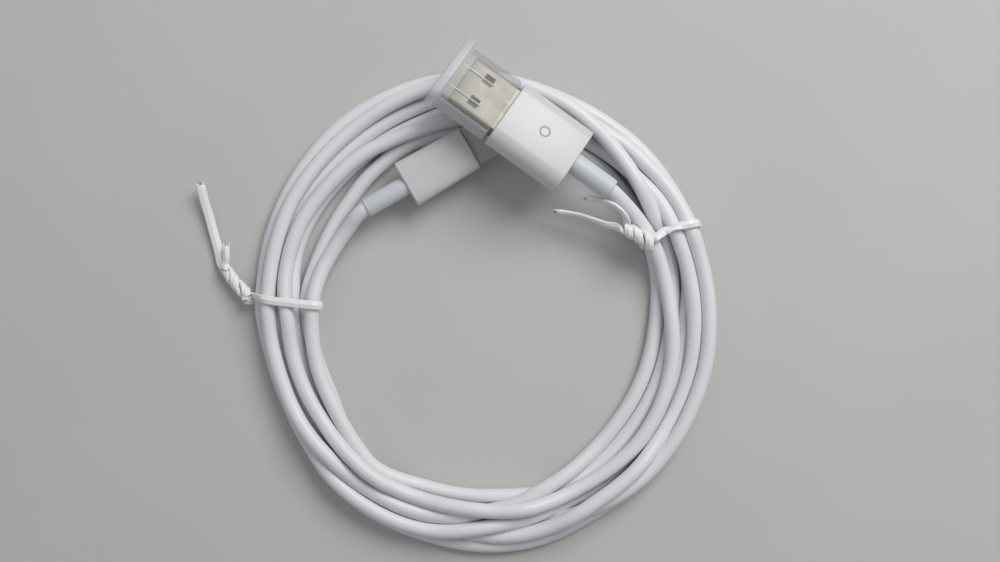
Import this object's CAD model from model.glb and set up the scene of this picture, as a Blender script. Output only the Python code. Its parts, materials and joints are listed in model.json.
"""Charging cable: the looks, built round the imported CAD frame.

Sizes are in millimetres and are turned to metres on the mesh. The camera, floor and lights are in metres.
"""

import json
import math

import bmesh
import bpy
import numpy as np
from mathutils import Matrix, Vector


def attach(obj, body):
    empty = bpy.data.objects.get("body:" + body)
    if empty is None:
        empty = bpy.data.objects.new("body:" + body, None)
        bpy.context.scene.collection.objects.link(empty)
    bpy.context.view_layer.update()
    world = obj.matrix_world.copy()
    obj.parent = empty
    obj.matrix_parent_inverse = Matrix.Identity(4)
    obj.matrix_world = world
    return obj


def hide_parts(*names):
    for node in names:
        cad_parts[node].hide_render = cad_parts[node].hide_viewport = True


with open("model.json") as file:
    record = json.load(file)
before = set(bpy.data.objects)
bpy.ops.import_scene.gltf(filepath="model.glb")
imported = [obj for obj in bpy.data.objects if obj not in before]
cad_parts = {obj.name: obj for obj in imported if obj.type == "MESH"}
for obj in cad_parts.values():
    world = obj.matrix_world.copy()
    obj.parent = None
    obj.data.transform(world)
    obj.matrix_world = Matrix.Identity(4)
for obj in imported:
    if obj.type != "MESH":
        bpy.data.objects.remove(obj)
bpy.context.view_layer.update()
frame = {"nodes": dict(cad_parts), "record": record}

MM = 0.001
UP = Vector((0, 0, 1))
# the least straight stretch between two corners, the sides of a finely drawn circle, and the angle
# in degrees from which an edge shows as an edge
HAIR, SIDES, SHARP = 0.001, 48, 32

# the coil's centre, the cord, and the ties' clockwise angles from +Y
RING = Vector((8.46, -31.56, 0))
CORD_D = 3.4
LEFT_ANGLE, RIGHT_ANGLE = 273.5, 65.0

# each plug's middle from the coil's centre, its roll, pitch and yaw, and its housing and sleeve
USB_AT, USB_TURN = Vector((11.7, 39.9, 12.8)), (16, -5, 144.6)
USB_L, USB_W, USB_T, USB_R = 18.6, 16.5, 7.6, 3.5
USB_SLEEVE_L, USB_SLEEVE_D = 10.6, 5.0
USB_FRONT = USB_L / 2
TIP_AT, TIP_TURN = Vector((-11.2, 34.1, 6.3)), (5, 1.5, 30.5)
TIP_L, TIP_W, TIP_FRONT_W, TIP_T, TIP_TAPER = 16.8, 11.1, 10.2, 5.6, 0.2
TIP_SLEEVE_L, TIP_SLEEVE_D = 10.4, 4.4
TIP_FRONT = TIP_L / 2

SHELL_W, SHELL_T, SHELL_OUT, SHELL_WALL = 12.0, 4.5, 12.0, 0.3
SHELL_REAR, SHELL_END = 3.8, USB_FRONT + SHELL_OUT
WINDOW, WINDOW_R = 2.4, 0.12
WINDOW_X, WINDOW_Y = USB_FRONT + 7.1, 3.1

# ---- helpers ----


def placing(at, turn):
    """The matrix, in mm, that puts a plug built along +X where it lies."""
    roll, pitch, yaw = (math.radians(a) for a in turn)
    return (
        Matrix.Translation(RING + at)
        @ Matrix.Rotation(yaw, 4, "Z")
        @ Matrix.Rotation(pitch, 4, "Y")
        @ Matrix.Rotation(roll, 4, "X")
    )


def tie_placing(angle):
    """The matrix, in mm, of a tie's own frame: +X out across the coil, +Y back along the turns."""
    return Matrix.Translation(RING) @ Matrix.Rotation(math.radians(90 - angle), 4, "Z")


AT_USB = placing(USB_AT, USB_TURN)
AT_TIP = placing(TIP_AT, TIP_TURN)


def smooth_but_edges(bm, sharp):
    """Shades the faces smooth and keeps the edges that are sharper than this many degrees."""
    limit = math.radians(sharp)
    for face in bm.faces:
        face.smooth = True
    for edge in bm.edges:
        edge.smooth = len(edge.link_faces) == 2 and edge.calc_face_angle(0) < limit


def loft(name, rings, matrix, close=False, sharp=SHARP):
    """Skins equal rings of points. It joins the last ring to the first, or caps both ends."""
    n = len(rings[0])
    faces = []
    for i in range(len(rings) if close else len(rings) - 1):
        a, b = i * n, (i + 1) % len(rings) * n
        faces += [(a + k, a + (k + 1) % n, b + (k + 1) % n, b + k) for k in range(n)]
    if not close:
        last = (len(rings) - 1) * n
        faces += [tuple(range(n)), tuple(range(last, last + n))]
    mesh = bpy.data.meshes.new(name)
    mesh.from_pydata([tuple((matrix @ Vector(p)) * MM) for ring in rings for p in ring], [], faces)
    bm = bmesh.new()
    bm.from_mesh(mesh)
    bmesh.ops.recalc_face_normals(bm, faces=bm.faces)
    smooth_but_edges(bm, sharp)
    bm.to_mesh(mesh)
    bm.free()
    obj = bpy.data.objects.new(name, mesh)
    bpy.context.scene.collection.objects.link(obj)
    return obj


def circle(d, n=SIDES, phase=0.0):
    """Points round a circle of diameter d. The phase is in steps."""
    angles = [math.tau * (k + phase) / n for k in range(n)]
    return [(d / 2 * math.cos(a), d / 2 * math.sin(a)) for a in angles]


def rounded(w, t, r, n):
    """Points round a w by t rectangle with corners of radius r, n to a corner."""
    points = []
    for q in range(4):
        cx = (w / 2 - r) * (1 if q in (0, 3) else -1)
        cy = (t / 2 - r) * (1 if q in (0, 1) else -1)
        for k in range(n):
            a = math.pi / 2 * (q + (k + 0.5) / n)
            points.append((cx + r * math.cos(a), cy + r * math.sin(a)))
    return points


def disc(x, d, n=32):
    """A circle in the plane across X."""
    return [(x, y, z) for y, z in circle(d, n, 0.5)]


def section(x, w, t, r, n=8):
    """A rounded rectangle in the plane across X, its radius kept under half of each side."""
    r = min(r, w / 2 - HAIR, t / 2 - HAIR)
    return [(x, y, z) for y, z in rounded(w, t, r, n)]


def round_ended(front, edges, steps, ring):
    """Rings of a bar from -front to front whose end edges are rounded. ring(x, inset) draws one of them."""
    rings = []
    for end, edge in zip((-1, 1), edges):
        for k in range(steps + 1):
            a = math.pi / 2 * (k / steps if end < 0 else 1 - k / steps)
            rings.append(ring(end * (front - edge * (1 - math.cos(a))), edge * (1 - math.sin(a))))
    return rings


def smooth_path(points, per):
    """A Catmull-Rom curve through rows of numbers, with this many steps from each to the next."""
    p = [np.array(q, float) for q in points]
    out = []
    for i in range(len(p) - 1):
        a, b, c, d = p[max(i - 1, 0)], p[i], p[i + 1], p[min(i + 2, len(p) - 1)]
        squared, cubed = 2 * a - 5 * b + 4 * c - d, 3 * b - a - 3 * c + d
        for k in range(per):
            t = k / per
            out.append(0.5 * (2 * b + (c - a) * t + squared * t * t + cubed * t**3))
    return out + [p[-1]]


def carried_frames(path):
    """A pair of cross directions at each point, carried along without twisting."""
    frames, up, last = [], UP, len(path) - 1
    for i in range(len(path)):
        along = (path[min(i + 1, last)] - path[max(i - 1, 0)]).normalized()
        up = (up - along * up.dot(along)).normalized()
        frames.append((along.cross(up), up))
    return frames


# ---- camera ----


def add_camera():
    """The view straight down on the cable."""
    data = bpy.data.cameras.new("camera")
    data.sensor_width = 36
    data.lens = 46.44
    camera = bpy.data.objects.new("camera", data)
    camera.location = (0.01144, -0.02353, 0.3)
    camera.rotation_euler = (0, 0, 0)
    bpy.context.scene.collection.objects.link(camera)
    bpy.context.scene.camera = camera


add_camera()

# ---- the cord ----

# One list for each turn of the coil, from the USB plug round to the device plug: clockwise angle
# from +Y, radius and height of the cord's middle. LOW lies on the table and OVER on another turn.
LOW, OVER = CORD_D / 2, 4.9
TURNS = [
    [(52, 40.3, 9.6), (58, 40.8, 7.6), (65, 41.2, 5.4), (74, 41.4, OVER), (84, 41.8, 4.7),
     (92, 42.3, OVER), (100, 43.1, OVER), (110, 44.3, OVER), (120, 45, OVER), (130, 45.4, OVER),
     (145, 45, 5.4), (160, 44.4, 7), (180, 44.3, 7.2), (190, 44.3, 6.4), (200, 44.5, OVER),
     (230, 44.2, OVER), (245, 44.5, OVER), (260, 45, OVER), (270, 45.2, OVER), (280, 46.6, OVER),
     (290, 47.2, OVER), (297, 47.3, OVER), (310, 46.8, OVER), (320, 46.7, OVER), (330, 46.1, OVER),
     (340, 45.6, OVER), (348, 45.3, 4.2), (354, 46, 3)],
    [(0, 46.7, LOW), (18, 46.7, LOW), (35, 46.7, LOW), (50, 47.1, 2.2), (60, 47.1, 3.6), (75, 47.1, OVER),
     (90, 47.2, OVER), (105, 47.8, 6), (120, 48.6, 7.4), (135, 49, 8.2), (150, 49.2, 8.6), (160, 49.9, 8),
     (170, 50.3, 5.8), (180, 50.5, 4.8), (190, 49.7, 3), (200, 48.9, LOW), (215, 48.7, LOW),
     (230, 45.1, LOW), (240, 43.8, LOW), (250, 43.7, LOW), (260, 44.2, LOW), (270, 44.8, LOW),
     (280, 45.8, LOW), (285, 46.5, LOW), (290, 46.8, LOW), (310, 46.8, LOW), (330, 46.6, LOW),
     (340, 46.7, LOW), (348, 47.6, LOW), (354, 49, LOW)],
    [(0, 50.2, LOW), (10, 50.2, LOW), (20, 49.5, LOW), (30, 48.9, LOW), (45, 48.4, LOW), (60, 47.4, LOW),
     (70, 47.2, LOW), (80, 47.1, LOW), (90, 46, LOW), (100, 45.6, LOW), (115, 45.3, LOW),
     (130, 45.3, LOW), (140, 45.8, LOW), (150, 46.7, 2.6), (160, 47.2, 4.2), (170, 47.7, 5.2),
     (180, 48.5, 7.2), (190, 50, 7.2), (200, 51.3, OVER), (210, 51.6, OVER), (220, 51.2, 4.3),
     (230, 50.3, 3.2), (240, 49.8, 2.2), (250, 49.8, LOW), (258, 50.1, LOW), (270, 51.3, LOW),
     (280, 51.9, LOW), (290, 52.8, LOW), (300, 53.5, LOW), (310, 54.1, LOW), (320, 54.9, LOW),
     (330, 55.1, LOW), (340, 55.1, LOW), (350, 55.1, LOW)],
    [(0, 54.7, LOW), (10, 53.4, LOW), (20, 52.5, LOW), (30, 52.1, LOW), (40, 52, LOW), (50, 51.4, LOW),
     (60, 51, LOW), (75, 50.9, LOW), (90, 50.9, LOW), (120, 50.9, LOW), (135, 51.1, LOW),
     (150, 51.3, LOW), (157, 51.6, LOW), (165, 52.5, LOW), (175, 52.7, LOW), (185, 52.5, LOW),
     (195, 52, LOW), (205, 52, LOW), (215, 51.8, LOW), (222, 50.6, LOW), (230, 48.1, LOW),
     (240, 46.8, LOW), (250, 46.7, LOW), (260, 47.5, LOW), (270, 48.1, LOW), (280, 48.8, LOW),
     (290, 49.7, LOW), (300, 50.2, LOW), (310, 49.8, LOW), (320, 49.7, LOW), (330, 50.2, LOW),
     (340, 50.6, LOW), (350, 51.2, 2.4)],
    [(0, 51.8, 4.2), (10, 51.4, OVER), (20, 50.6, OVER), (30, 49.6, OVER), (40, 50, OVER),
     (50, 50.2, OVER), (60, 50.4, OVER), (75, 50.6, OVER), (90, 50.7, OVER), (105, 50.9, OVER),
     (120, 51.1, OVER), (130, 51.1, OVER), (140, 50.9, OVER), (150, 50.5, 5.1), (160, 49.8, 4.4),
     (170, 49.2, 2), (180, 48.1, LOW), (190, 46.7, LOW), (200, 45.6, LOW), (215, 45.4, LOW),
     (230, 42.9, LOW), (240, 41.1, LOW), (250, 40.8, LOW), (260, 41.2, LOW), (270, 41.6, LOW),
     (280, 41.3, LOW), (290, 40.9, LOW), (300, 41, LOW), (310, 41.4, LOW), (320, 42.3, LOW),
     (330, 43.1, LOW), (338, 43.9, LOW), (345, 43.6, LOW), (352, 43.2, LOW)],
    [(0, 43.2, LOW), (18, 43.4, LOW), (35, 43.4, LOW), (50, 42.3, LOW), (62, 41.5, LOW), (70, 41.2, LOW),
     (75, 40.8, LOW), (84, 39.9, LOW), (92, 39.4, LOW), (99, 39, LOW), (106, 38.8, LOW), (120, 38.8, LOW),
     (130, 39.1, LOW), (140, 39.8, LOW), (150, 40.7, LOW), (160, 41.8, 1.8), (170, 43.4, 2.2),
     (180, 44.8, 2.4), (190, 46.6, 3.6), (200, 47.8, OVER), (210, 48.2, OVER), (220, 48.4, OVER),
     (230, 48.7, OVER), (240, 49.3, OVER), (250, 49.4, OVER), (265, 49.9, OVER), (275, 50.2, OVER),
     (290, 50.8, OVER), (300, 51.5, OVER), (310, 52.1, OVER), (320, 52.8, OVER), (330, 53.4, OVER),
     (340, 53.9, OVER), (350, 54.2, OVER)],
    [(0, 53.6, 6.6), (10, 52.4, 7.7), (20, 51.2, 8), (30, 49.4, 8), (40, 47.4, 7.4), (50, 45.9, OVER),
     (60, 44.7, 3), (66, 44.5, LOW), (75, 43.9, LOW), (83, 43.1, LOW), (90, 42.6, LOW), (105, 42.5, LOW),
     (120, 42.5, LOW), (130, 42.5, LOW), (140, 42.5, LOW), (150, 42.8, LOW), (165, 42.7, LOW),
     (180, 41.9, LOW), (190, 41.9, LOW), (200, 42.2, LOW), (208, 43, 2.6), (214, 43.7, 4.1),
     (222, 42.9, OVER), (230, 41.9, OVER), (240, 40.9, OVER), (250, 40.6, OVER), (265, 40.4, OVER),
     (276, 40.2, OVER), (284, 39.6, OVER), (292, 38.6, 5.2), (300, 37.8, 5.9)],
]
# the spacing of the cord's points, and the length at each end that its plug and sleeve hold
STEP, HELD_END = 1.5, 14.1
COIL_SAMPLES = 8000

# Each round of settling sinks the cord, evens out its kinks, draws it back to its plan from above
# and pushes apart the turns that overlap. HOLD is how far it may stray from the plan sideways.
ROUNDS, PASSES = 500, 2
SINK, EVEN_Z, EVEN_XY, DRAW, PUSH = 0.03, 0.35, 0.5, 0.03, 1.3
HOLD = 0.35
# points this near from above may touch, unless they are this few points apart along the cord
NEAR, NEXT = 4.6, 8
# a tie's strip passes under the coil and lifts it, less and less from LIFT_FAR - LIFT_RUN to LIFT_FAR
TIE_LIFT, LIFT_FAR, LIFT_RUN = 1.1, 6, 4.5


def eased(x, y, at):
    """Cubic Hermite curve through unevenly spaced points."""
    slope = np.gradient(y, x)
    i = np.clip(np.searchsorted(x, at) - 1, 0, len(x) - 2)
    h = x[i + 1] - x[i]
    t = (at - x[i]) / h
    return (
        (2 * t**3 - 3 * t**2 + 1) * y[i]
        + (t**3 - 2 * t**2 + t) * h * slope[i]
        + (3 * t**2 - 2 * t**3) * y[i + 1]
        + (t**3 - t**2) * h * slope[i + 1]
    )


def even_points(points, step):
    """The line through the points, as points about this far apart."""
    run = np.concatenate([[0], np.cumsum(np.linalg.norm(np.diff(points, axis=0), axis=1))])
    at = np.linspace(0, run[-1], int(run[-1] / step) + 1)
    return np.stack([np.interp(at, run, points[:, k]) for k in range(3)], 1)


def straight_end(matrix, rear, sleeve_l):
    """Points on the cord's straight stretch from inside a plug to just past its sleeve."""
    xs = (rear + 2, rear - 5, rear - sleeve_l, rear - sleeve_l - 1.5)
    return [np.array(matrix @ Vector((x, 0, 0)) - RING) for x in xs]


def planned_cord():
    """The cord from plug to plug as the turns above give it, before it settles."""
    rows = [(a + 360 * turn, r, z) for turn, row in enumerate(TURNS) for a, r, z in row]
    angle, radius, height = np.array(rows, float).T
    at = np.linspace(angle[0], angle[-1], COIL_SAMPLES)
    r, z = eased(angle, radius, at), eased(angle, height, at)
    coil = np.stack([r * np.sin(np.radians(at)), r * np.cos(np.radians(at)), z], 1)
    start = straight_end(AT_USB, -USB_FRONT, USB_SLEEVE_L)
    end = straight_end(AT_TIP, -TIP_FRONT, TIP_SLEEVE_L)
    return even_points(np.concatenate([start, coil, end[::-1]]), STEP)


def may_touch(p):
    """Index pairs of points that are near each other from above but not along the cord."""
    gap = np.linalg.norm(p[:, None, :2] - p[None, :, :2], axis=2)
    low, high = np.where(gap < NEAR)
    apart = high - low > NEXT
    return low[apart], high[apart]


def ground_under(p):
    """The lowest that the cord's middle can lie at each point."""
    angle = np.degrees(np.arctan2(p[:, 0], p[:, 1])) % 360
    ground = np.full(len(p), CORD_D / 2)
    for tie in (LEFT_ANGLE, RIGHT_ANGLE):
        away = np.abs((angle - tie + 180) % 360 - 180)
        arc = np.radians(away) * np.hypot(p[:, 0], p[:, 1])
        t = np.clip((LIFT_FAR - arc) / LIFT_RUN, 0, 1)
        ground += TIE_LIFT * t * t * (3 - 2 * t)
    return ground


def even_out(p, planned, free):
    """Moves each point towards the middle of its neighbours: its height, and its sideways stray."""
    z = p[:, 2].copy()
    p[1:-1, 2] += EVEN_Z * free[1:-1] * (0.5 * (z[:-2] + z[2:]) - z[1:-1])
    off = p[:, :2] - planned[:, :2]
    p[1:-1, :2] += EVEN_XY * free[1:-1, None] * (0.5 * (off[:-2] + off[2:]) - off[1:-1])


def push_apart(p, low, high, free):
    """Moves points of different turns apart where the cord would overlap itself."""
    between = p[high] - p[low]
    dist = np.linalg.norm(between, axis=1)
    near = dist < CORD_D
    i, j = low[near], high[near]
    push = ((CORD_D - dist[near]) / np.maximum(dist[near], 1e-6))[:, None] * between[near]
    share = free[i] + free[j] + 1e-9
    move, count = np.zeros_like(p), np.zeros(len(p))
    np.add.at(move, i, -push * (free[i] / share)[:, None])
    np.add.at(move, j, push * (free[j] / share)[:, None])
    np.add.at(count, i, 1)
    np.add.at(count, j, 1)
    p += PUSH * move / np.maximum(count, 1)[:, None]


def settle(planned):
    """Lets the planned cord sink under its weight until it rests on the table and on itself."""
    p = planned.copy()
    low, high = may_touch(p)
    ground = ground_under(p)
    free = np.ones(len(p))
    held = int(HELD_END / STEP) + 1
    free[:held] = free[-held:] = 0
    for _ in range(ROUNDS):
        p[:, 2] -= SINK * free
        for _ in range(PASSES):
            even_out(p, planned, free)
        p[:, :2] += DRAW * free[:, None] * (planned[:, :2] - p[:, :2])
        for _ in range(PASSES):
            push_apart(p, low, high, free)
        p[:, 2] = np.maximum(p[:, 2], np.where(free > 0, ground, p[:, 2]))
        off = p[:, :2] - planned[:, :2]
        strayed = np.maximum(np.linalg.norm(off, axis=1), 1e-6)
        p[:, :2] = planned[:, :2] + off * np.minimum(1, HOLD / strayed)[:, None]
    return p


def cord_object(path):
    """The cord as one round curve through every fourth point of its path and the last."""
    points = list(path[::4])
    points[-1] = path[-1]
    curve = bpy.data.curves.new("cord", "CURVE")
    curve.dimensions = "3D"
    curve.bevel_depth = CORD_D / 2 * MM
    curve.bevel_resolution = 6
    curve.resolution_u = 4
    curve.use_fill_caps = True
    spline = curve.splines.new("BEZIER")
    spline.bezier_points.add(len(points) - 1)
    for knot, q in zip(spline.bezier_points, points):
        knot.co = (RING + Vector(q)) * MM
        knot.handle_left_type = knot.handle_right_type = "AUTO"
    obj = bpy.data.objects.new("cord", curve)
    bpy.context.scene.collection.objects.link(obj)
    return obj


laid = settle(planned_cord())
cord = cord_object(laid)

# ---- materials ----

# in metres
GRAIN_DEPTH = 0.0001


def material(name, colour, rough, vary, vary_scale, grain, grain_scale=900, rough_vary=0.08,
             metal=0.0, alpha=1.0):
    """Colour, roughness and surface that all drift a little over the piece."""
    m = bpy.data.materials.new(name)
    m.use_nodes = True
    nodes, links = m.node_tree.nodes, m.node_tree.links
    shader = nodes["Principled BSDF"]
    coords = nodes.new("ShaderNodeTexCoord")

    def noise(scale, detail):
        """A noise texture in the object's own space."""
        texture = nodes.new("ShaderNodeTexNoise")
        texture.inputs["Scale"].default_value = scale
        texture.inputs["Detail"].default_value = detail
        links.new(coords.outputs["Object"], texture.inputs["Vector"])
        return texture.outputs["Fac"]

    ramp = nodes.new("ShaderNodeValToRGB")
    shades = [c * (1 - vary) for c in colour], [min(1, c * (1 + vary)) for c in colour]
    for stop, place, shade in zip(ramp.color_ramp.elements, (0.3, 0.7), shades):
        stop.position = place
        stop.color = (*shade, 1)
    links.new(noise(vary_scale, 3), ramp.inputs["Fac"])
    links.new(ramp.outputs["Color"], shader.inputs["Base Color"])

    spread = nodes.new("ShaderNodeMapRange")
    spread.inputs["To Min"].default_value = max(0.02, rough - rough_vary)
    spread.inputs["To Max"].default_value = min(1, rough + rough_vary)
    links.new(noise(vary_scale * 2.3, 2), spread.inputs["Value"])
    links.new(spread.outputs["Result"], shader.inputs["Roughness"])

    bump = nodes.new("ShaderNodeBump")
    bump.inputs["Strength"].default_value = grain
    bump.inputs["Distance"].default_value = GRAIN_DEPTH
    links.new(noise(grain_scale, 4), bump.inputs["Height"])
    links.new(bump.outputs["Normal"], shader.inputs["Normal"])
    shader.inputs["Metallic"].default_value = metal
    shader.inputs["Alpha"].default_value = alpha
    return m


CLEAR = dict(vary_scale=160, grain_scale=500)
LOOKS = {
    "cord": dict(colour=(0.77, 0.785, 0.81), rough=0.42, vary=0.025, vary_scale=60, grain=0.12,
                 grain_scale=2600),
    "housing": dict(colour=(0.64, 0.645, 0.652), rough=0.34, vary=0.012, vary_scale=120, grain=0.03,
                    grain_scale=700, rough_vary=0.04),
    "sleeve": dict(colour=(0.62, 0.65, 0.69), rough=0.45, vary=0.02, vary_scale=150, grain=0.1,
                   grain_scale=2000),
    # the clear caps: the faces seen through, their edges and sides, and the hollow's end
    "clear_cap": dict(colour=(0.62, 0.63, 0.62), rough=0.22, vary=0.02, grain=0.06, alpha=0.16, **CLEAR),
    "cap_edge": dict(colour=(0.68, 0.7, 0.74), rough=0.36, vary=0.02, grain=0.08, alpha=0.5, **CLEAR),
    "cap_side": dict(colour=(0.74, 0.73, 0.72), rough=0.34, vary=0.03, grain=0.06, alpha=0.66, **CLEAR),
    "cap_lit_side": dict(colour=(0.74, 0.75, 0.76), rough=0.34, vary=0.02, grain=0.05, alpha=0.42, **CLEAR),
    "cap_hollow": dict(colour=(0.6, 0.59, 0.55), rough=0.4, vary=0.02, grain=0.05, alpha=0.6, **CLEAR),
    "tip_cap_clear": dict(colour=(0.8, 0.8, 0.79), rough=0.3, vary=0.03, grain=0.06, alpha=0.4, **CLEAR),
    "cap_rib": dict(colour=(0.93, 0.93, 0.9), rough=0.3, vary=0.02, vary_scale=160, grain=0.05, alpha=0.6),
    "shell_steel": dict(colour=(0.345, 0.33, 0.29), rough=0.54, vary=0.05, vary_scale=200, grain=0.08,
                        metal=1.0),
    "contact_gold": dict(colour=(0.55, 0.41, 0.18), rough=0.45, vary=0.06, vary_scale=600, grain=0.05,
                         metal=1.0),
    "contact_dull": dict(colour=(0.16, 0.14, 0.1), rough=0.5, vary=0.06, vary_scale=600, grain=0.05,
                         metal=1.0),
    "insulator": dict(colour=(0.82, 0.82, 0.79), rough=0.5, vary=0.03, vary_scale=400, grain=0.1),
    "tongue": dict(colour=(0.035, 0.035, 0.04), rough=0.45, vary=0.1, vary_scale=500, grain=0.1),
    "inner_mould": dict(colour=(0.7, 0.7, 0.68), rough=0.6, vary=0.04, vary_scale=300, grain=0.15),
    "board": dict(colour=(0.03, 0.2, 0.08), rough=0.4, vary=0.1, vary_scale=700, grain=0.1),
    "chip": dict(colour=(0.03, 0.03, 0.035), rough=0.55, vary=0.1, vary_scale=900, grain=0.15),
    "print": dict(colour=(0.36, 0.37, 0.38), rough=0.5, vary=0.05, vary_scale=900, grain=0.05),
    "tie_coat": dict(colour=(0.88, 0.88, 0.89), rough=0.35, vary=0.03, vary_scale=300, grain=0.25,
                     grain_scale=1400),
    "tie_wire": dict(colour=(0.5, 0.49, 0.47), rough=0.35, vary=0.08, vary_scale=900, grain=0.1, metal=1.0),
    "wire_red": dict(colour=(0.55, 0.03, 0.02), rough=0.45, vary=0.06, vary_scale=500, grain=0.08),
    "wire_white": dict(colour=(0.8, 0.8, 0.78), rough=0.45, vary=0.04, vary_scale=500, grain=0.08),
    "wire_green": dict(colour=(0.02, 0.3, 0.07), rough=0.45, vary=0.06, vary_scale=500, grain=0.08),
    "wire_black": dict(colour=(0.02, 0.02, 0.02), rough=0.45, vary=0.1, vary_scale=500, grain=0.08),
    "floor": dict(colour=(0.56, 0.56, 0.545), rough=0.75, vary=0.02, vary_scale=14, grain=0.1,
                  grain_scale=500),
}
MATERIALS = {name: material(name, **look) for name, look in LOOKS.items()}


def dress_frame():
    """Gives the CAD nodes their looks. The USB contacts lie in the shade of the shell."""
    for row in frame["record"]["subparts"]:
        node = frame["nodes"].get(row["node"])
        if node is None:
            continue
        look = "contact_dull" if row["node"].startswith("usb_contact") else row["material_slot"]
        node.data.materials.clear()
        node.data.materials.append(MATERIALS[look])
        for poly in node.data.polygons:
            poly.material_index = 0


def piece(obj, body, slot, replaced=(), look=None):
    """Gives an object its look and slot, its body, and the CAD nodes that it stands for."""
    obj.data.materials.clear()
    obj.data.materials.append(MATERIALS[look or slot])
    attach(obj, body)
    if replaced:
        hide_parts(*replaced)
    return obj


dress_frame()

# ---- both plugs ----


def sleeve(name, node, matrix, rear, length, diameter):
    """The soft tube where the cord leaves a plug, with a flared bore and a rounded free end."""
    bore = CORD_D + 0.06
    inside = 1.2
    profile = [
        (inside, bore),
        (-length + 0.3, bore),
        (-length + 0.04, bore + 0.16),
        (-length, bore + 0.4),
        (-length, diameter - 0.5),
        (-length + 0.05, diameter - 0.22),
        (-length + 0.2, diameter - 0.05),
        (-length + 0.4, diameter),
        (-0.4, diameter + 0.02),
        (inside, diameter + 0.02),
    ]
    rings = [disc(rear + x, d) for x, d in profile]
    return piece(loft(name, rings, matrix, close=True), "cable", "sleeve", [node])


# how deep the sleeve's socket is in a housing's rear, and the x that the metal's socket reaches in to
SOCKET_IN, SOCKET_X = 1.4, 4

# ---- the USB plug ----

SOCKET_W, SOCKET_T, SOCKET_R = SHELL_W + 0.14, SHELL_T + 0.14, 0.75
MARK_D, MARK_BORE, MARK_DEPTH = 2.6, 1.8, 0.02
MARK_X, MARK_Y, MARK_Z = -0.1, -0.5, USB_T / 2 + 0.012


def usb_section(x, inset):
    """The USB plug's rounded section, drawn in all round by the inset."""
    return section(x, USB_W - 2 * inset, USB_T - 2 * inset, USB_R - inset)


def usb_housing():
    """The white housing, open at the rear for the sleeve and at the front for the shell."""
    socket_d = USB_SLEEVE_D + 0.1
    rings = [disc(-USB_FRONT + SOCKET_IN, socket_d), disc(-USB_FRONT, socket_d)]
    rings += round_ended(USB_FRONT, (0.22, 0.22), 4, usb_section)
    rings += [section(x, SOCKET_W, SOCKET_T, SOCKET_R) for x in (USB_FRONT, SOCKET_X)]
    piece(loft("usb_housing_skin", rings, AT_USB), "cable", "housing", ["usb_housing"])


def usb_print():
    """A plain printed ring on the housing's upper face."""
    rings = []
    for d, depth in ((MARK_D, MARK_DEPTH), (MARK_D, 0), (MARK_BORE, 0), (MARK_BORE, MARK_DEPTH)):
        rings.append([(MARK_X + x, MARK_Y + y, MARK_Z - depth) for x, y in circle(d)])
    piece(loft("usb_print", rings, AT_USB, close=True), "cable", "print", ["usb_mark"])


def cut(obj, cutter):
    """Takes the cutter out of the object for good."""
    bpy.context.view_layer.update()
    m = obj.modifiers.new("cut", "BOOLEAN")
    m.object, m.operation, m.solver = cutter, "DIFFERENCE", "EXACT"
    dg = bpy.context.evaluated_depsgraph_get()
    mesh = bpy.data.meshes.new_from_object(obj.evaluated_get(dg))
    obj.modifiers.remove(m)
    obj.data = mesh
    bpy.data.objects.remove(cutter)


def usb_shell():
    """The steel shell: a tube with rounded rims at its open end and two windows in each face."""
    wall = 2 * SHELL_WALL
    profile = [
        (SHELL_REAR, 0, 0.7),
        (SHELL_END - 0.12, 0, 0.7),
        (SHELL_END - 0.03, 0.08, 0.66),
        (SHELL_END, 0.2, 0.6),
        (SHELL_END, wall - 0.1, 0.45),
        (SHELL_END - 0.1, wall, 0.4),
        (SHELL_REAR, wall, 0.4),
    ]
    rings = [section(x, SHELL_W - less, SHELL_T - less, r) for x, less, r in profile]
    shell = loft("usb_shell_tube", rings, AT_USB, close=True)
    for side in (-1, 1):
        # one cutter goes down through both faces
        window = [(WINDOW_X + x, side * WINDOW_Y + y) for x, y in rounded(WINDOW, WINDOW, WINDOW_R, 4)]
        cut(shell, loft("cutter", [[(x, y, z) for x, y in window] for z in (-5, 5)], AT_USB))
    bm = bmesh.new()
    bm.from_mesh(shell.data)
    smooth_but_edges(bm, SHARP)
    bm.to_mesh(shell.data)
    bm.free()
    piece(shell, "cable", "shell_steel", ["usb_shell"])


usb_housing()
usb_print()
sleeve("usb_sleeve", "usb_strain_relief", AT_USB, -USB_FRONT, USB_SLEEVE_L, USB_SLEEVE_D)
usb_shell()

# ---- the USB plug's clear cap ----

CAP_BACK = USB_FRONT + 0.9
CAP_FRONT = CAP_BACK + 15.4
CAP_W, CAP_T, CAP_R = 15.6, 7.2, 2.2
FLANGE_W, FLANGE_T, FLANGE_R = 17.2, 8.6, 2.4
FLANGE_BACK = CAP_FRONT - 2.4
HOLLOW_W, HOLLOW_T, HOLLOW_R = SHELL_W + 0.3, SHELL_T + 0.8, 0.8
CAP_LOOKS = ("clear_cap", "cap_edge", "cap_side", "cap_lit_side", "cap_hollow")
RIB_BACK = WINDOW_X - 1.6
RIB_SECTION = ((-0.13, -0.12), (0.13, -0.12), (0.1, 0.14), (-0.1, 0.14))


def cap_look(middle, facing):
    """The look of a face of the cap, from where it is and faces in the plug's own frame."""
    if middle.x > FLANGE_BACK - 0.2:
        return "cap_edge"
    if abs(middle.y) > HOLLOW_W / 2 + 0.5 and abs(facing.z) < 0.8:
        return "cap_side" if middle.y > 0 else "cap_lit_side"
    if middle.x > SHELL_END and abs(middle.z) < HOLLOW_T / 2 + 0.1:
        return "cap_hollow"
    return "clear_cap"


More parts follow.
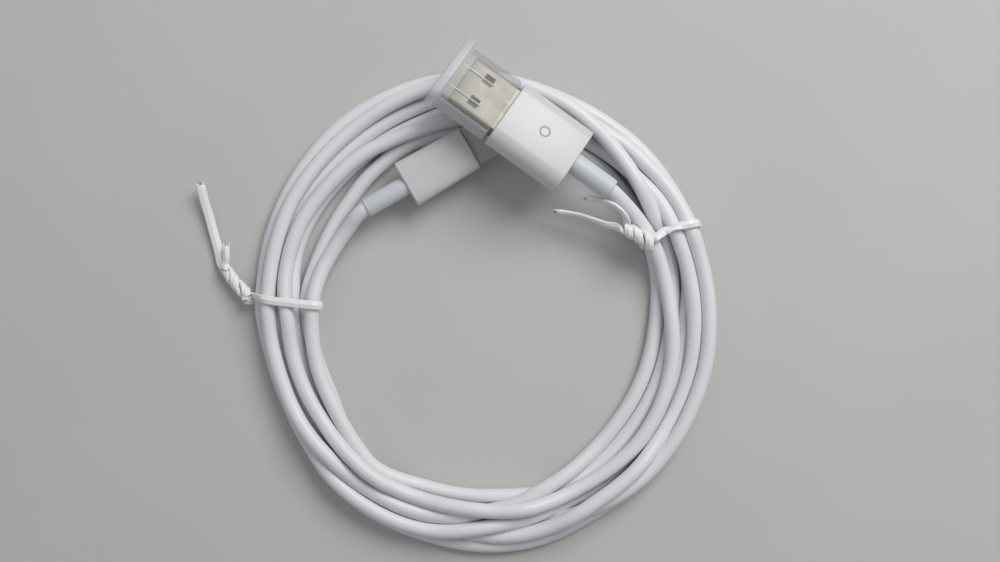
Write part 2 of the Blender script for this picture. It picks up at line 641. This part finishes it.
def usb_cap():
    """The clear cap: its hollow, out round its mouth, along its outside and round its end flange."""
    profile = [
        (FLANGE_BACK - 0.1, HOLLOW_W, HOLLOW_T, HOLLOW_R),
        (SHELL_END + 0.1, HOLLOW_W, HOLLOW_T, HOLLOW_R),
        (CAP_BACK + 0.25, HOLLOW_W, HOLLOW_T, HOLLOW_R),
        (CAP_BACK, HOLLOW_W + 0.4, HOLLOW_T + 0.4, 1),
        (CAP_BACK, CAP_W - 0.5, CAP_T - 0.5, CAP_R - 0.2),
        (CAP_BACK + 0.07, CAP_W - 0.15, CAP_T - 0.15, CAP_R - 0.05),
        (CAP_BACK + 0.25, CAP_W, CAP_T, CAP_R),
        (FLANGE_BACK - 0.3, CAP_W, CAP_T, CAP_R),
        (FLANGE_BACK, CAP_W + 0.3, CAP_T + 0.25, CAP_R + 0.05),
        (FLANGE_BACK + 0.05, FLANGE_W - 0.6, FLANGE_T - 0.6, FLANGE_R - 0.2),
        (FLANGE_BACK + 0.35, FLANGE_W, FLANGE_T, FLANGE_R),
        (CAP_FRONT - 0.5, FLANGE_W, FLANGE_T, FLANGE_R),
        (CAP_FRONT - 0.15, FLANGE_W - 0.3, FLANGE_T - 0.3, FLANGE_R - 0.1),
        (CAP_FRONT, FLANGE_W - 1, FLANGE_T - 1, FLANGE_R - 0.3),
    ]
    cap = loft("usb_cap_clear", [section(*row) for row in profile], AT_USB)
    piece(cap, "usb_cap", CAP_LOOKS[0], ["usb_cap"])
    for look in CAP_LOOKS[1:]:
        cap.data.materials.append(MATERIALS[look])
    to_plug = AT_USB.inverted()
    for poly in cap.data.polygons:
        look = cap_look(to_plug @ (poly.center / MM), to_plug.to_3x3() @ poly.normal)
        poly.material_index = CAP_LOOKS.index(look)


def usb_cap_rib(name, y, z, far):
    """A rib of the cap's hollow, from the shell's windows to x = far."""
    rings = [[(x, y + dy, z + dz) for dy, dz in RIB_SECTION] for x in (RIB_BACK, far)]
    piece(loft(name, rings, AT_USB), "usb_cap", "clear_cap", look="cap_rib")


usb_cap()
for side, rib_y, rib_end in (("a", -2.7, FLANGE_BACK), ("b", 3.05, FLANGE_BACK + 1.2)):
    for face, half in (("d", -1), ("u", 1)):
        usb_cap_rib(f"usb_cap_rib_{side}{face}", rib_y, half * (HOLLOW_T / 2 - 0.12), rib_end)

# ---- the device plug ----

TAB_SLOT = (6.76, 1.56, 0.3)
TAB_HOLE = (6.9, 1.7, 0.3)
TIP_CAP_L, TIP_CAP_W, TIP_CAP_T, TIP_CAP_R = 7.8, 9.0, 3.4, 1.8
TIP_CAP_BACK = TIP_FRONT + 0.15
TIP_CAP_END = TIP_CAP_BACK + TIP_CAP_L


def crowned(x, inset):
    """A soft-cornered oval across the device plug, a little narrower towards its tab."""
    f = (x + TIP_FRONT) / TIP_L
    w = TIP_W + (TIP_FRONT_W - TIP_W) * f - 2 * inset
    t = TIP_T - TIP_TAPER * f - 2 * inset
    ring = []
    for c, s in circle(2, SIDES, 0.5):
        ring.append((x, w / 2 * math.copysign(abs(c) ** 0.5, c), t / 2 * math.copysign(abs(s) ** 0.62, s)))
    return ring


def tip_housing():
    """The white housing, open at the rear for the sleeve and at the front for the tab."""
    socket_d = TIP_SLEEVE_D + 0.1
    rings = [disc(-TIP_FRONT + SOCKET_IN, socket_d, SIDES), disc(-TIP_FRONT, socket_d, SIDES)]
    rings += round_ended(TIP_FRONT, (0.55, 0.4), 6, crowned)
    rings += [section(x, *TAB_SLOT, SIDES // 4) for x in (TIP_FRONT, SOCKET_X)]
    return piece(loft("tip_housing_skin", rings, AT_TIP), "cable", "housing", ["tip_housing"])


def tip_cap():
    """The small clear cap: its hollow, out round its mouth, and along to its round end."""
    rings = [
        section(TIP_FRONT + 7, *TAB_HOLE),
        section(TIP_CAP_BACK, *TAB_HOLE),
        section(TIP_CAP_BACK, TIP_CAP_W - 0.4, TIP_CAP_T - 0.4, 0.7),
        section(TIP_CAP_BACK + 0.2, TIP_CAP_W, TIP_CAP_T, 0.9),
        section(TIP_CAP_END - TIP_CAP_R, TIP_CAP_W, TIP_CAP_T, 0.9),
    ]
    for k in range(1, 7):
        a = math.pi / 2 * k / 6.5
        x, drawn_in = TIP_CAP_END - TIP_CAP_R * (1 - math.sin(a)), 1 - math.cos(a)
        rings.append(section(x, TIP_CAP_W - 2 * TIP_CAP_R * drawn_in, TIP_CAP_T - 0.5 * drawn_in, 0.8))
    piece(loft("tip_cap_clear", rings, AT_TIP), "tip_cap", "clear_cap", ["tip_cap"], "tip_cap_clear")


tip_pieces = [
    tip_housing(),
    sleeve("tip_sleeve", "tip_strain_relief", AT_TIP, -TIP_FRONT, TIP_SLEEVE_L, TIP_SLEEVE_D),
]
tip_cap()

# ---- the twist ties ----

BAND_W, BAND_T, TAIL_T = 2.0, 0.75, 0.85
# how far the loop's middle line stays from the cords, and its coat from the table
BAND_OUT, BAND_CLEAR = 0.42, 0.02
BAND_STEPS, TURN_STEPS, RIBBON_STEPS = 44, 8, 5
# half of the strip's section, in parts of its width and thickness: thicker over the wire
STRIP = ((-0.5, 0), (-0.46, 0.3), (-0.36, 0.42), (-0.14, 0.38), (-0.08, 0.5), (0.08, 0.5), (0.14, 0.38),
         (0.36, 0.42), (0.46, 0.3))
CUT_PINCH = 0.82
WIRE_OUT, WIRE_D = 0.7, 0.4
SLIVER_D, SLIVER_TAPER, SLIVER_SPLAY = 0.36, 0.8, 0.45


def hull_2d(points):
    """The outline round a set of points."""
    points = sorted(points)

    def turns_left(a, b, c):
        """Whether the way from a over b to c turns left."""
        return (b[0] - a[0]) * (c[1] - a[1]) > (b[1] - a[1]) * (c[0] - a[0])

    def half(seq):
        """One side of the outline."""
        out = []
        for q in seq:
            while len(out) > 1 and not turns_left(out[-2], out[-1], q):
                out.pop()
            out.append(q)
        return out[:-1]

    return half(points) + half(points[::-1])


def cords_under(angle, top):
    """Where the cord crosses the tie's plane below this height, as points out and up."""
    m = tie_placing(angle).inverted()
    local = [m @ (RING + Vector(q)) for q in laid]
    places = set()
    for a, b in zip(local, local[1:]):
        if a.x > 0 and (a.y <= 0 < b.y or b.y <= 0 < a.y):
            c = a.lerp(b, a.y / (a.y - b.y))
            if c.z < top:
                places.add((round(c.x, 4), round(c.z, 4)))
    return sorted(places)


def loop_round(places):
    """The closed line of the strip round these cords."""
    around = circle(CORD_D + 2 * BAND_OUT)
    outline = hull_2d([(cx + x, cz + z) for cx, cz in places for x, z in around])
    return [Vector((x, 0, max(z, BAND_T / 2 + BAND_CLEAR))) for x, z in outline]


def even_loop(loop, count):
    """A closed line as this many points, evenly spaced."""
    loop = loop + [loop[0]]
    run = [0.0]
    for a, b in zip(loop, loop[1:]):
        run.append(run[-1] + (b - a).length)
    even, j = [], 0
    for k in range(count):
        want = run[-1] * k / count
        while run[j + 1] < want:
            j += 1
        even.append(loop[j].lerp(loop[j + 1], (want - run[j]) / max(run[j + 1] - run[j], 1e-6)))
    return even


def band_rows(angle, spec):
    """Rows of the strip's loop, from one side of the knot round to the other."""
    loop = loop_round(cords_under(angle, spec["top"]))
    middle = sum(q.z for q in loop) / len(loop)
    even = even_loop(loop, BAND_STEPS)
    knot = Vector((spec["cut"][0], 0, spec["cut"][1]))
    first = min(range(BAND_STEPS), key=lambda k: (even[k] - knot).length)
    even = even[first:] + even[:first]
    turn_x, turn_angle, turn_spread = spec["turned"]
    rows = []
    for k, q in enumerate(even):
        if (q - knot).length < spec["gap"]:
            continue
        upper = q.z > middle
        ahead = (even[(k + 1) % BAND_STEPS] - even[k - 1]).normalized()
        y = np.interp(q.x, *zip(*spec["upper_lean" if upper else "lower_lean"]))
        tilt = math.radians(turn_angle * math.exp(-((q.x - turn_x) / turn_spread) ** 2)) if upper else 0
        across = Vector((0, math.cos(tilt), 0)) + ahead.cross(Vector((0, 1, 0))) * math.sin(tilt)
        rows.append((*(q + Vector((0, y, 0))), *across, BAND_W, BAND_T))
    return rows


def wound_rows(axis, phase, turns, radius, w, t):
    """Rows of a strip that winds round a bent axis and lies flat against it."""
    line = [Vector(q) for q in smooth_path(axis, int(TURN_STEPS * turns) // (len(axis) - 1))]
    last = len(line) - 1
    run = sum((b - a).length for a, b in zip(line, line[1:]))
    rows = []
    for k, (centre, (across, up)) in enumerate(zip(line, carried_frames(line))):
        a = math.radians(phase) - math.tau * turns * k / last
        out = across * math.cos(a) + up * math.sin(a)
        along = up.cross(across) * -run
        reach = radius[0] + (radius[1] - radius[0]) * k / last
        ahead = along + out.cross(along).normalized() * math.tau * turns * reach
        side = ahead.cross(out).normalized()
        rows.append((*(centre + out * reach), *side, w, t))
    return rows


def tail_rows(before, points):
    """Rows of a free end, from points with the strip's tilt and width."""
    line = [Vector(before[:3])] + [Vector(q[:3]) for q in points]
    rows = []
    for k, (x, y, z, turned, width) in enumerate(points, 1):
        ahead = (line[min(k + 1, len(line) - 1)] - line[k - 1]).normalized()
        flat = ahead.cross(UP).normalized()
        tilt = math.radians(turned)
        side = flat * math.cos(tilt) + flat.cross(ahead) * math.sin(tilt)
        rows.append((x, y, z, *side, width, TAIL_T))
    return rows


def ribbon(name, rows, angle):
    """The coated strip through rows of its middle, the direction across it, width and thickness."""
    rows = [np.array(q, float) for q in rows]
    for a, b in zip(rows, rows[1:]):
        if a[3:6] @ b[3:6] < 0:
            b[3:6] *= -1
    fine = smooth_path(rows, RIBBON_STEPS)
    last = len(fine) - 1
    shape = STRIP + tuple((-a, -b) for a, b in STRIP)
    rings = []
    for i, q in enumerate(fine):
        ahead = Vector(fine[min(i + 1, last)][:3] - fine[max(i - 1, 0)][:3]).normalized()
        side = Vector(q[3:6])
        side = (side - ahead * side.dot(ahead)).normalized()
        up = ahead.cross(side)
        # the very end is pinched where it was cut
        pinch = CUT_PINCH if i in (0, last) else 1
        middle, w, t = Vector(q[:3]), q[6] * pinch, q[7] * pinch
        rings.append([middle + side * (w * a) + up * (t * b) for a, b in shape])
    return loft(name, rings, tie_placing(angle), sharp=60), fine


def needle(name, angle, base, ahead, length, thick, taper):
    """A short bit beyond a strip's cut end: bare wire, or a sliver of its coat."""
    line = [base - ahead * 0.8, base, base + ahead * length * 0.6, base + ahead * length]
    rings = []
    for centre, (side, up), d in zip(line, carried_frames(line), (1, 1, 1 - taper * 0.4, 1 - taper)):
        rings.append([centre + x * side + y * up for x, y in circle(thick * d, 8)])
    return loft(name, rings, tie_placing(angle))


def strip_end(word, number, angle, end, inner):
    """The bare wire at a strip's cut end, with a sliver of coat on each side of it."""
    ahead = Vector(end[:3] - inner[:3]).normalized()
    base, side = Vector(end[:3]), Vector(end[3:6]).normalized()
    wire = needle(f"{word}_tie_wire_{number}", angle, base, ahead, WIRE_OUT, WIRE_D, 0)
    piece(wire, "cable", "tie_wire")
    for letter, way in (("a", -1), ("b", 1)):
        name = f"{word}_tie_sliver_{number}{letter}"
        root = base + side * (way * end[6] * 0.3)
        splayed = (ahead + side * way * SLIVER_SPLAY).normalized()
        sliver = needle(name, angle, root, splayed, 0.5 + 0.25 * number, SLIVER_D, SLIVER_TAPER)
        piece(sliver, "cable", "tie_coat")


def tie(word, angle, spec):
    """One strip: a loop round the cords, both strands wound together at the knot, and two tails."""
    # the strand from under the cords winds over the knot first, the one from above goes under it
    axis, turns, radius = spec["axis"], spec["turns"], spec["radius"]
    low, high = (wound_rows(axis, spec["phase"] - back, turns, radius, *spec["wound"]) for back in (0, 180))
    band = band_rows(angle, spec)
    if band[0][2] > band[-1][2]:
        band.reverse()
    low_tail, high_tail = tail_rows(low[-1], spec["low_tail"]), tail_rows(high[-1], spec["high_tail"])
    rows = low_tail[::-1] + low[::-1] + band + high + high_tail
    strip, line = ribbon(f"{word}_tie_strip", rows, angle)
    piece(strip, "cable", "tie_coat", [f"tie_{word}", f"tie_{word}_wire"])
    strip_end(word, 1, angle, line[0], line[3])
    strip_end(word, 2, angle, line[-1], line[-4])


# All in the tie's own frame. The knot: its axis, where the strands start round it, how many turns
# they wind, their distance from the axis at each end, and the strip's width and thickness there.
# The loop: the middle and radius of its gap at the knot, the height above which cords are left out,
# its drift along the turns by distance out, and where, how far and over what length it turns on edge.
# A tail's points carry the strip's tilt in degrees and its width.
LEFT = {
    "axis": ((54.7, -0.9, 2.9), (58.2, -3.9, 2.4), (61, -7.2, 2.2)),
    "phase": 150,
    "turns": 1.25,
    "radius": (1, 0.68),
    "wound": (2.1, 1.25),
    "cut": (53.6, 2.4),
    "gap": 1.6,
    "top": 8.4,
    "upper_lean": ((37, 0), (48, -0.5), (54, -1.2)),
    "lower_lean": ((37, 0), (54, -0.8)),
    "turned": (52.4, 25, 1.8),
    "low_tail": ((62.1, -8.4, 1.6, 10, 2.3), (63.1, -11.6, 1.3, 0, 2.2), (64.4, -15.4, 1.4, -6, 2.15),
                 (65.6, -19.2, 1.8, -8, 2.1), (66.8, -22.9, 2.5, -10, 2.1), (67.6, -26, 3.3, -16, 2)),
    "high_tail": ((60.7, -9.2, 2.9, 12, 1.7), (60.8, -10.8, 3, 10, 1.6), (60.9, -12.2, 2.9, 0, 1.5)),
}
RIGHT = {
    "axis": ((40.9, -0.8, 8.8), (38.7, 2.2, 9), (36.7, 4.9, 8.9)),
    "phase": 185,
    "turns": 1.5,
    "radius": (1.35, 0.85),
    "wound": (2, 1.2),
    "cut": (40.8, 8.4),
    "gap": 2.8,
    "top": 8.4,
    "upper_lean": ((38, 0.4), (43, 0.6), (48, 0.2), (54, -1.4)),
    "lower_lean": ((38, -0.1), (43, -0.8), (54, -1.4)),
    "turned": (46.6, 58, 1.8),
    "low_tail": ((37.7, 6.6, 10.3, 50, 1.7), (37.4, 8.6, 10.9, 60, 1.6), (36.3, 10.8, 10.6, 62, 1.6),
                 (34.5, 12.7, 9.7, 60, 1.6), (33, 13.9, 9.1, 58, 1.6), (31.7, 14.6, 8.8, 54, 1.5)),
    "high_tail": ((35, 6.2, 8.3, 35, 1.9), (33.4, 7.4, 8, 52, 1.8), (31.2, 9.6, 7.6, 62, 1.65),
                  (28.9, 11.8, 7.2, 64, 1.6), (26.4, 13.6, 7.1, 62, 1.6), (24.4, 14.8, 7.2, 56, 1.5)),
}
tie("left", LEFT_ANGLE, LEFT)
tie("right", RIGHT_ANGLE, RIGHT)

# ---- floor and light ----

FLOOR_HALF = 1.5
AIM = (0.0, -0.02, 0)


def add_floor():
    """The plain pale table top."""
    h = FLOOR_HALF
    mesh = bpy.data.meshes.new("floor")
    mesh.from_pydata([(-h, -h, 0), (h, -h, 0), (h, h, 0), (-h, h, 0)], [], [(0, 1, 2, 3)])
    mesh.materials.append(MATERIALS["floor"])
    floor = bpy.data.objects.new("floor", mesh)
    bpy.context.scene.collection.objects.link(floor)


def area_light(name, at, size, watts, colour):
    """A round lamp turned towards the cable."""
    data = bpy.data.lights.new(name, "AREA")
    data.shape, data.size, data.energy, data.color = "DISK", size, watts, colour
    obj = bpy.data.objects.new(name, data)
    obj.location = at
    obj.rotation_euler = (Vector(AIM) - Vector(at)).to_track_quat("-Z", "Y").to_euler()
    bpy.context.scene.collection.objects.link(obj)


def add_sky():
    """Even light from all round, a little blue."""
    world = bpy.data.worlds.new("soft")
    world.use_nodes = True
    background = world.node_tree.nodes["Background"]
    background.inputs["Color"].default_value = (0.93, 0.95, 1, 1)
    background.inputs["Strength"].default_value = 0.27
    bpy.context.scene.world = world


add_floor()
area_light("key", (0.34, 0.4, 0.56), 0.5, 4.3, (1, 0.985, 0.96))
area_light("fill", (-0.7, -0.2, 0.9), 0.9, 0.9, (0.92, 0.96, 1))
add_sky()
bpy.context.scene.view_settings.view_transform = "Standard"

# ---- the cord as one piece ----

piece(cord, "cable", "cord", ["cable_coil", "cable_lead_usb", "cable_lead_tip"])
tip_pieces += [
    frame["nodes"][n] for n in ("tip_tab_frame", "tip_insulator", "tip_contacts_top", "tip_contacts_bottom",
                                "tip_board", "tip_chip", "tip_shield", "tip_inner_mould", "tip_crimp_ring")
]
